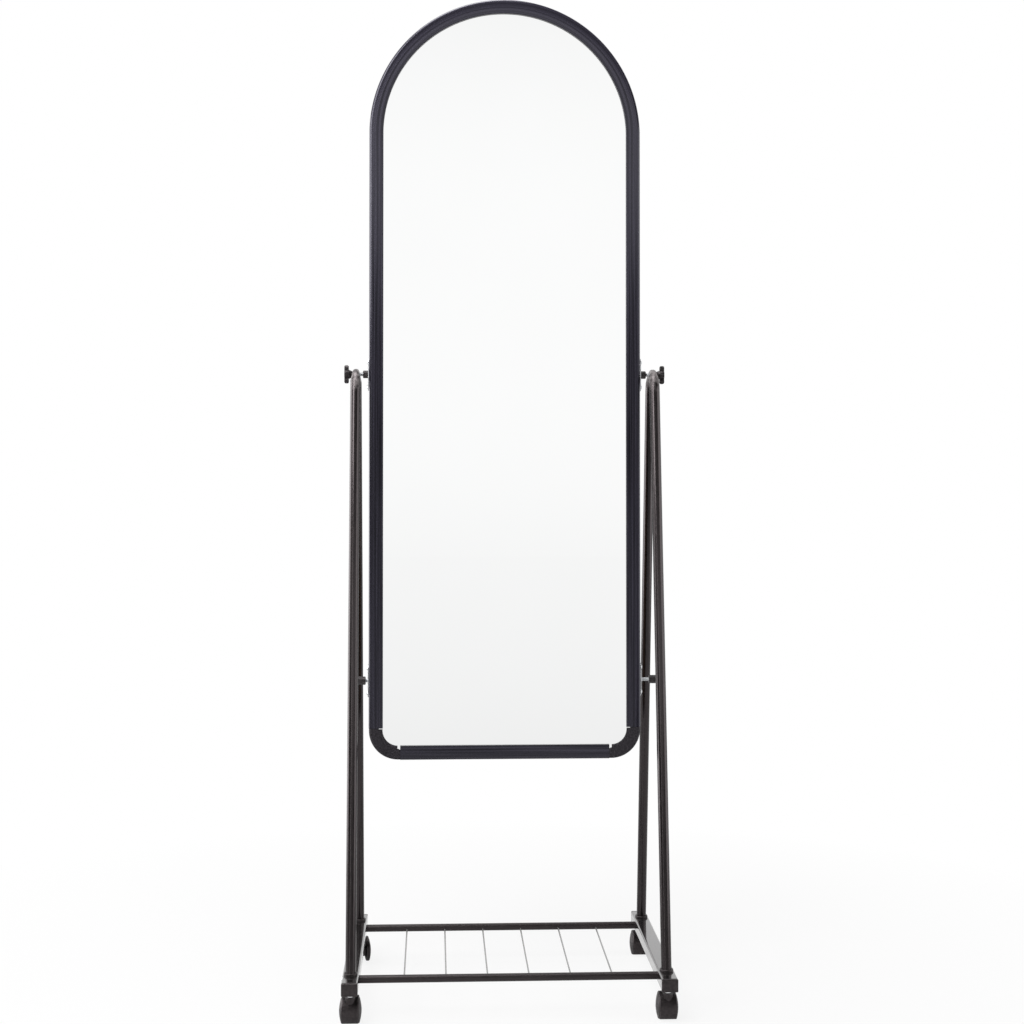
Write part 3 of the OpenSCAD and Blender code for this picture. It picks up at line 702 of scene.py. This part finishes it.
# Shelf wires
# Drawn steel wires, nickel plated, sprung into holes in the two crossbars to make a rack. All
# six are alike and evenly spaced.
class Recipe(Tree):
    """A geometry tree with named inputs for its sizes."""

    kinds = {float: "NodeSocketFloat", int: "NodeSocketInt", bpy.types.Object: "NodeSocketObject"}

    def __init__(self, name, **sizes):
        self.group = bpy.data.node_groups.new(name, "GeometryNodeTree")
        super().__init__(self.group)
        self.group.interface.new_socket("Mesh", in_out="OUTPUT", socket_type="NodeSocketGeometry")
        self.settings = {}
        for label, size in sizes.items():
            kind = self.kinds[type(size)]
            socket = self.group.interface.new_socket(label, in_out="INPUT", socket_type=kind)
            self.settings[socket.identifier] = size
        self.inputs = self.nodes.new("NodeGroupInput")

    def size(self, label):
        return Value(self, self.inputs.outputs[label])

    def made(self, name, result, finish):
        """Runs the tree once and gives what it makes as a plain mesh."""
        solid = self.node("GeometryNodeRealizeInstances", {}, {"Geometry": result})
        solid = self.node("GeometryNodeSetMaterial", {}, {"Geometry": solid, "Material": finish.material})
        self.feed(self.nodes.new("NodeGroupOutput").inputs["Mesh"], solid)
        bench = bpy.data.objects.new("bench", bpy.data.meshes.new("bench"))
        bpy.context.scene.collection.objects.link(bench)
        modifier = bench.modifiers.new("recipe", "NODES")
        modifier.node_group = self.group
        for identifier, size in self.settings.items():
            modifier[identifier] = size
        evaluated = bench.evaluated_get(bpy.context.evaluated_depsgraph_get())
        mesh = bpy.data.meshes.new_from_object(evaluated)
        mesh.name = name
        bench.modifiers.remove(modifier)
        tools = [size for size in self.settings.values() if isinstance(size, bpy.types.Object)]
        for used in (bench, *tools):
            bpy.data.objects.remove(used)
        return mesh


wire_dull = (0.22, 0.22, 0.22, 1)
wire_bright = (0.40, 0.40, 0.39, 1)
bright_wire = Finish("bright_wire", Metallic=1.0)
wire_drag = drag_lines(bright_wire, scale=300, detail=2, fine=(1, 0.05, 1))
bright_wire.varies("Base Color", bright_wire.blend(wire_drag, wire_dull, wire_bright))
bright_wire.varies("Roughness", 0.14 + 0.16 * wire_drag)

wires_low, wires_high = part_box("shelf_wires")
wire_r = (wires_high.z - wires_low.z) / 2
wires = Recipe(
    "shelf_wires", Count=6, Radius=wire_r, Length=wires_high.y - wires_low.y,
    Height=(wires_low.z + wires_high.z) / 2, First=wires_low.x + wire_r, Last=wires_high.x - wire_r)
wire = wires.node("GeometryNodeMeshCylinder", {}, {
    "Vertices": 24, "Radius": wires.size("Radius"), "Depth": wires.size("Length")})
first_wire = wires.node("ShaderNodeCombineXYZ", {}, {0: wires.size("First"), 2: wires.size("Height")})
wire_step = (wires.size("Last") - wires.size("First")) / (wires.size("Count") - 1)
wire_places = wires.node("GeometryNodeMeshLine", {}, {
    "Count": wires.size("Count"),
    "Start Location": first_wire,
    "Offset": wires.node("ShaderNodeCombineXYZ", {}, {0: wire_step}),
})
rack = wires.node("GeometryNodeInstanceOnPoints", {}, {
    "Points": wire_places, "Instance": wire, "Rotation": (math.radians(90), 0, 0)})
fixed_to(finished("plated_wires", wires.made("plated_wires", rack, bright_wire), bright_wire),
         "stand", "bright_wire", "shelf_wires")


# Crossbar bolts
# Zinc-plated machine screws with low domed heads and a cross recess go through the rails into
# the inserts of the crossbars, two on each side.
zinc_dull = (0.50, 0.51, 0.53, 1)
zinc_bright = (0.72, 0.73, 0.74, 1)
zinc_plate = Finish("zinc_plate", Metallic=1.0)
spangle = zinc_plate.node("ShaderNodeTexVoronoi", {}, {"Vector": zinc_plate.place, "Scale": 700})
zinc_cloud = zinc_plate.noise(scale=120, detail=4)
zinc_mottle = 0.5 * zinc_cloud + 0.5 * spangle
zinc_plate.varies("Base Color", zinc_plate.blend(zinc_mottle, zinc_dull, zinc_bright))
zinc_plate.varies("Roughness", 0.26 + 0.24 * zinc_cloud)
zinc_plate.relief(zinc_cloud, depth=0.04 * mm, strength=0.4)


def domed_head(name, radius, height, recess):
    """A screw's head on a short neck, its underside on z = 0, with a cross recess of that reach."""
    neck = 0.5 * mm
    bulge = 0.75 * height
    crown = (radius ** 2 + bulge ** 2) / (2 * bulge)
    rim_angle = math.degrees(math.acos(radius / crown))
    rise = arc((0, height - crown), crown, rim_angle, 90, 8)
    profile = [(0, -neck), (radius / 2, -neck), (radius / 2, 0), (0.94 * radius, 0), *rise[:-1], (0, height)]
    head = bpy.data.objects.new(name, turned(profile, Matrix.Identity(4), steps=32))
    bpy.context.scene.collection.objects.link(head)

    recess_floor = 0.35 * height
    blade = 0.42 * recess
    narrowing = 0.45
    cutters = []
    for turn in (0, math.pi / 2):
        bar = bmesh.new()
        bmesh.ops.create_cube(bar, size=1)
        for point in bar.verts:
            at_top = point.co.z > 0
            point.co.x *= 2 * recess * (1 if at_top else narrowing)
            point.co.y *= blade
            point.co.z = height + 1 * mm if at_top else recess_floor
        bmesh.ops.rotate(bar, verts=bar.verts, matrix=Matrix.Rotation(turn, 3, "Z"))
        cut_mesh = bpy.data.meshes.new("recess")
        bar.to_mesh(cut_mesh)
        bar.free()
        cutter = bpy.data.objects.new("recess", cut_mesh)
        bpy.context.scene.collection.objects.link(cutter)
        cutters.append(cutter)
        cut = head.modifiers.new("recess", "BOOLEAN")
        cut.operation = "DIFFERENCE"
        cut.object = cutter
    evaluated = head.evaluated_get(bpy.context.evaluated_depsgraph_get())
    cut_head = bpy.data.meshes.new_from_object(evaluated)
    head.modifiers.clear()
    head.data = cut_head
    for cutter in cutters:
        bpy.data.objects.remove(cutter)
    return head


def heads_on_both_sides(name, head, finish, out, height, rows=1, rise=0.0, apart_y=0.0, apart_z=0.0):
    """Pairs of heads on the left and right, at x = out, in rows that follow upwards by rise.

    The heads of a pair are apart_y and apart_z away from its middle. Each is turned about its
    own axis by chance, as screws end up.
    """
    recipe = Recipe(name, Head=head, Out=out, Height=height, Rows=rows, Rise=rise,
                    Apart_Y=apart_y, Apart_Z=apart_z, Seed=7)
    index = recipe.node("GeometryNodeInputIndex")
    side_of = index % 2 * 2 - 1
    twin = (index / 2).floored() % 2 * 2 - 1
    row_of = (index / 4).floored()
    place = recipe.node("ShaderNodeCombineXYZ", {}, {
        0: side_of * recipe.size("Out"),
        1: twin * recipe.size("Apart_Y"),
        2: recipe.size("Height") + row_of * recipe.size("Rise") + twin * recipe.size("Apart_Z"),
    })
    points = recipe.node("GeometryNodePoints", {}, {"Count": recipe.size("Rows") * 4, "Position": place})
    chosen = recipe.node("GeometryNodeObjectInfo", {}, {"Object": recipe.size("Head")}, out="Geometry")
    outwards = recipe.node("ShaderNodeCombineXYZ", {}, {1: side_of * math.radians(90)})
    spread = recipe.node("GeometryNodeInstanceOnPoints", {}, {
        "Points": points, "Instance": chosen, "Rotation": outwards})
    spin = recipe.node("FunctionNodeRandomValue", {"data_type": "FLOAT"}, {
        "Max": math.pi, "Seed": recipe.size("Seed")}, out=1)
    spun = recipe.node("GeometryNodeRotateInstances", {}, {
        "Instances": spread,
        "Rotation": recipe.node("ShaderNodeCombineXYZ", {}, {2: spin}),
        "Local Space": True,
    })
    return finished(name, recipe.made(name, spun, finish), finish, 30)


bolt_head_r = 4.5 * mm
bolts_low, bolts_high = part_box("crossbar_bolts")
bolts = heads_on_both_sides(
    "bolt_heads", domed_head("bolt_head", bolt_head_r, height=3 * mm, recess=2.4 * mm), zinc_plate,
    out=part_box("side_rail_right")[1].x, height=(bolts_low.z + bolts_high.z) / 2,
    apart_y=bolts_high.y - bolt_head_r)
fixed_to(bolts, "stand", "zinc", "crossbar_bolts")


# Mirror frame: the bent channel
# An extruded channel of black PVC, bent hot over a former into the arch and its two long
# sides. The die leaves fine lines along it, and the lip over the glass is a little darker.
pvc_black = (0.0003, 0.0002, 0.0006, 1)
pvc_grey = (0.0150, 0.0135, 0.0210, 1)
pvc_lip = (0.002, 0.002, 0.003, 1)
cool_sheen = {"IOR": 1.45, "Specular_Tint": (0.86, 0.84, 1.0, 1), "Coat_Roughness": 0.12}
channel_pvc = Finish("channel_pvc", **cool_sheen)
arch_low, arch_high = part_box("arch_channel")
mirror_r = arch_high.x
arch_z = arch_high.z - mirror_r
face_w = 23 * mm
inner_x = mirror_r - face_w
channel_half = 10 * mm
outer_r = 4 * mm
inner_r = 1.2 * mm
lip_r = 0.5 * mm
groove_floor = 8 * mm
groove_front = -6 * mm
groove_back = 0.3 * mm
fine_lines = 1400
fine_run = 6
broad_lines = 380
broad_run = 3


def die_lines(finish, across, length):
    """Streaks that run along an extrusion, from how far across and how far along it a point is."""
    _, y, _ = finish.axes()
    fine = finish.noise(1, 3, finish.vector(across * fine_lines, y * fine_lines, length * fine_run))
    broad = finish.noise(1, 2, finish.vector(across * broad_lines, y * broad_lines, length * broad_run))
    lip = finish.ramp((across - inner_x) / face_w, (0.02, 1), (0.07, 0), (0.98, 0))
    streak = finish.ramp(0.3 * fine + 0.7 * broad, (0.36, 0), (0.64, 1))
    tone = finish.blend(streak, pvc_black, pvc_grey)
    finish.varies("Base Color", finish.blend(lip, tone, pvc_lip))
    finish.varies("Roughness", 0.09 + 0.15 * streak)
    finish.varies("Coat Weight", 0.42 * streak)
    finish.relief(fine, depth=0.04 * mm, strength=0.35)


pvc_x, _, pvc_z = channel_pvc.axes()
above_arch = (pvc_z - arch_z).at_least(0)
from_middle = (pvc_x * pvc_x + above_arch * above_arch).root()
die_lines(channel_pvc, from_middle, pvc_z)


def channel_outline(steps=6):
    """Section of the channel as (outwards, backwards) points, with the groove for the glass."""
    points = arc((face_w - outer_r, channel_half - outer_r), outer_r, 0, 90, steps)
    points += arc((inner_r, channel_half - inner_r), inner_r, 90, 180, steps)
    points += arc((lip_r, groove_back + lip_r), lip_r, 180, 270, 3)
    points += [(groove_floor, groove_back), (groove_floor, groove_front)]
    points += arc((lip_r, groove_front - lip_r), lip_r, 90, 180, 3)
    points += arc((inner_r, inner_r - channel_half), inner_r, 180, 270, steps)
    points += arc((face_w - outer_r, outer_r - channel_half), outer_r, 270, 360, steps)
    return points


def outline_object(name, points):
    """A closed outline of straight stretches as a curve, for a recipe to use."""
    curve = bpy.data.curves.new(name, "CURVE")
    curve.dimensions = "3D"
    line = curve.splines.new("POLY")
    line.points.add(len(points) - 1)
    for knot, point in zip(line.points, points):
        knot.co = (*point, 0, 1)
    line.use_cyclic_u = True
    result = bpy.data.objects.new(name, curve)
    bpy.context.scene.collection.objects.link(result)
    return result


section = outline_object("section", channel_outline())
arch = Recipe("bent_channel", Section=section, Radius=inner_x, Spring=arch_z, Foot=arch_low.z, Steps=128)
half_turn = arch.node("GeometryNodeCurveArc", {}, {
    "Resolution": arch.size("Steps"), "Radius": 1.0, "Start Angle": 0.0, "Sweep Angle": math.pi})
turn = arch.node("ShaderNodeSeparateXYZ", {}, {0: arch.node("GeometryNodeInputPosition")})
step_of = arch.node("GeometryNodeInputIndex")
at_foot = (step_of < 0.5) + (step_of > arch.size("Steps") - 1.5)
arch_line = arch.size("Spring") + arch.size("Radius") * turn.output("Y")
arch_line = arch_line + at_foot * (arch.size("Foot") - arch_line)
bent = arch.node("GeometryNodeSetPosition", {}, {
    "Geometry": half_turn,
    "Position": arch.node("ShaderNodeCombineXYZ", {}, {
        0: turn.output("X") * arch.size("Radius"), 2: arch_line}),
})
outline = arch.node("GeometryNodeObjectInfo", {}, {"Object": arch.size("Section")}, out="Geometry")
swept = arch.node("GeometryNodeCurveToMesh", {}, {
    "Curve": bent, "Profile Curve": outline, "Fill Caps": True})
channel = finished("bent_channel", arch.made("bent_channel", swept, channel_pvc), channel_pvc)
fixed_to(channel, "mirror", "frame_plastic", "arch_channel")


# Mirror frame: the bottom rail
# A straight length of the same extrusion, cut square at both ends and pushed over the spigots
# of the two elbows.
rail_pvc = Finish("rail_pvc", **cool_sheen)
base_x, _, base_z = rail_pvc.axes()
base_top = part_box("bottom_rail")[1].z
die_lines(rail_pvc, inner_x + base_top - base_z, base_x)
from_frame("bottom_rail", "bottom_channel", rail_pvc, "frame_plastic", 0.12 * mm)


# Mirror frame: the elbows
# Moulded corners of matt black nylon. Their spigots push into the chambers of the channel, and
# a short slot is left in the lip at each joint.
elbow_black = (0.0005, 0.0005, 0.001, 1)
elbow_grey = (0.018, 0.016, 0.019, 1)
elbow_nylon = Finish("elbow_nylon", IOR=1.40, Specular_Tint=(0.98, 0.92, 1.0, 1))
elbow_fleck = elbow_nylon.ramp(elbow_nylon.noise(scale=420, detail=3), (0.38, 0), (0.64, 1))
elbow_grain = elbow_nylon.noise(scale=1500, detail=3)
elbow_nylon.varies("Base Color", elbow_nylon.blend(elbow_fleck, elbow_black, elbow_grey))
elbow_nylon.varies("Roughness", 0.50 + 0.16 * elbow_grain)
elbow_nylon.relief(elbow_grain, depth=0.12 * mm, strength=0.7)
for side in ("left", "right"):
    from_frame(f"elbow_{side}", f"corner_moulding_{side}", elbow_nylon, "elbow_plastic", 0.25 * mm)


# Glass
# A pane of 3 mm float glass, silvered on its back, arched above and with its edges ground
# round. It slides into the groove before the second elbow goes on. The lamps leave it out, so
# that it shows the white studio and no softbox.
silver_dull = (0.958, 0.963, 0.960, 1)
silver_bright = (0.972, 0.975, 0.974, 1)
silvering = Finish("silvered_glass", Metallic=1.0, Roughness=0.0)
haze = silvering.noise(scale=7, detail=3)
silvering.varies("Base Color", silvering.blend(haze, silver_dull, silver_bright))
pane = from_frame("mirror_glass", "silvered_pane", silvering, "mirror_glass", 0.5 * mm)
missed_by_lamps.objects.link(pane)
missed_by_lamps.collection_objects[0].light_linking.link_state = "EXCLUDE"


# Backing board
# Brown hardboard, cut to the outline of the glass, with pressed fibres on its smooth side and
# the mesh of the press on the side that shows at the back.
board_dark = (0.165, 0.088, 0.042, 1)
board_brown = (0.285, 0.168, 0.088, 1)
fibre_pale = (0.37, 0.235, 0.135, 1)
hardboard = Finish("hardboard", Roughness=0.72, IOR=1.45)
board_x, _, board_z = hardboard.axes()
fibres = hardboard.noise(scale=900, detail=5)
pale_fibres = hardboard.ramp(fibres, (0.40, 0), (0.70, 1))
flakes = hardboard.ramp(hardboard.noise(scale=95, detail=8), (0.32, 0), (0.68, 1))
board_tone = hardboard.blend(flakes, board_dark, board_brown)
hardboard.varies("Base Color", hardboard.blend(pale_fibres, board_tone, fibre_pale))
mesh_pitch = 1.6 * mm
weave = (board_x * (math.pi / mesh_pitch)).wave()
weft = (board_z * (math.pi / mesh_pitch)).wave()
hardboard.relief(weave * weft + 0.5 * fibres, depth=0.18 * mm, strength=0.7)
from_frame("backing_board", "hardboard_back", hardboard, "backing_board", 0.2 * mm)


# Bracket plates
# Stamped steel plates with round ends, zinc plated, one above and one below on each side of
# the frame. They spread the load of the studs over the thin wall of the channel.
for rank in ("upper", "lower"):
    for side in ("left", "right"):
        from_frame(f"bracket_{rank}_{side}", f"stud_plate_{rank}_{side}", zinc_plate, "zinc", 0.3 * mm)


# Bracket screws
# Self-tapping screws with pan heads and cross recesses, zinc plated. Two of them hold each
# plate to the channel, one above and one below its stud.
lower_low, lower_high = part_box("bracket_lower_left")
lower_z = (lower_low.z + lower_high.z) / 2
screw_half_pitch = 20 * mm
screws = heads_on_both_sides(
    "pan_heads", domed_head("pan_head", 3.5 * mm, height=2.2 * mm, recess=2.0 * mm), zinc_plate,
    out=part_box("bracket_upper_right")[1].x, height=lower_z,
    rows=2, rise=pivot_z - lower_z, apart_z=screw_half_pitch)
fixed_to(screws, "mirror", "zinc", "bracket_screws")


# Studs
# M6 studs, rolled and zinc plated, come out through the plates from their heads inside the
# channel. The upper pair are the pivots, and the lower pair carry the tilt stops.
thread_pitch = 1 * mm
thread_depth = 0.55 * mm
thread_r = 2.98 * mm
tip_l = 0.6 * mm
tip_slope = 0.6
stud_start = mirror_r - 6 * mm


def threaded_rod(length, place, steps=28, rows_a_turn=6):
    """Rod along +Z with a helical thread and a bevelled tip."""
    rows = int(length / thread_pitch * rows_a_turn)
    rings = []
    for row_number in range(rows + 1):
        height = length * row_number / rows
        bevel = tip_slope * max(0, tip_l - (length - height))
        ring = []
        for angle in all_round(steps):
            phase = (height / thread_pitch - angle / (2 * math.pi)) % 1
            radius = thread_r - thread_depth * abs(2 * phase - 1) - bevel
            ring.append((radius * math.cos(angle), radius * math.sin(angle), height))
        rings.append(ring)
    return lofted(rings, place)


for use, stud_z in (("pivot", pivot_z), ("stop", lower_z)):
    for side, sign in (("left", -1), ("right", 1)):
        stud_low, stud_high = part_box(f"{use}_stud_{side}")
        reach = max(-stud_low.x, stud_high.x) - stud_start
        rod = threaded_rod(reach, Matrix.Translation((sign * stud_start, 0, stud_z)) @ along((sign, 0, 0)))
        fixed_to(finished(f"threaded_{use}_{side}", rod, zinc_plate, 60),
                 "mirror", "zinc", f"{use}_stud_{side}")


# Star nuts and tilt stops
# Lobed nuts of black nylon with moulded threads. The star nuts lock the pivot studs to their
# plates, and the longer ones below meet the legs when the mirror tilts.
nut_black = (0.003, 0.003, 0.003, 1)
nut_grey = (0.009, 0.009, 0.009, 1)
nut_nylon = Finish("nut_nylon", IOR=1.48, Specular_Tint=warm_sheen)
nut_cloud = nut_nylon.noise(scale=240, detail=3)
nut_nylon.varies("Base Color", nut_nylon.blend(nut_cloud, nut_black, nut_grey))
nut_nylon.varies("Roughness", 0.34 + 0.16 * nut_cloud)
nut_nylon.relief(nut_nylon.noise(scale=2200, detail=2), depth=0.06 * mm, strength=0.6)
for side in ("left", "right"):
    from_frame(f"star_nut_{side}", f"lock_nut_{side}", nut_nylon, "hardware_plastic", 0.3 * mm)
    from_frame(f"tilt_stop_{side}", f"stop_nut_{side}", nut_nylon, "hardware_plastic", 0.35 * mm)


# Wing knobs
# Matt black wing knobs, moulded in the same nylon. Screwed down, they hold the tilt by squeezing
# the flat of the leg tube against the star nut.
for side in ("left", "right"):
    from_frame(f"wing_knob_{side}", f"knob_moulding_{side}", nut_nylon, "hardware_plastic", 0.7 * mm)


bpy.context.view_layer.update()
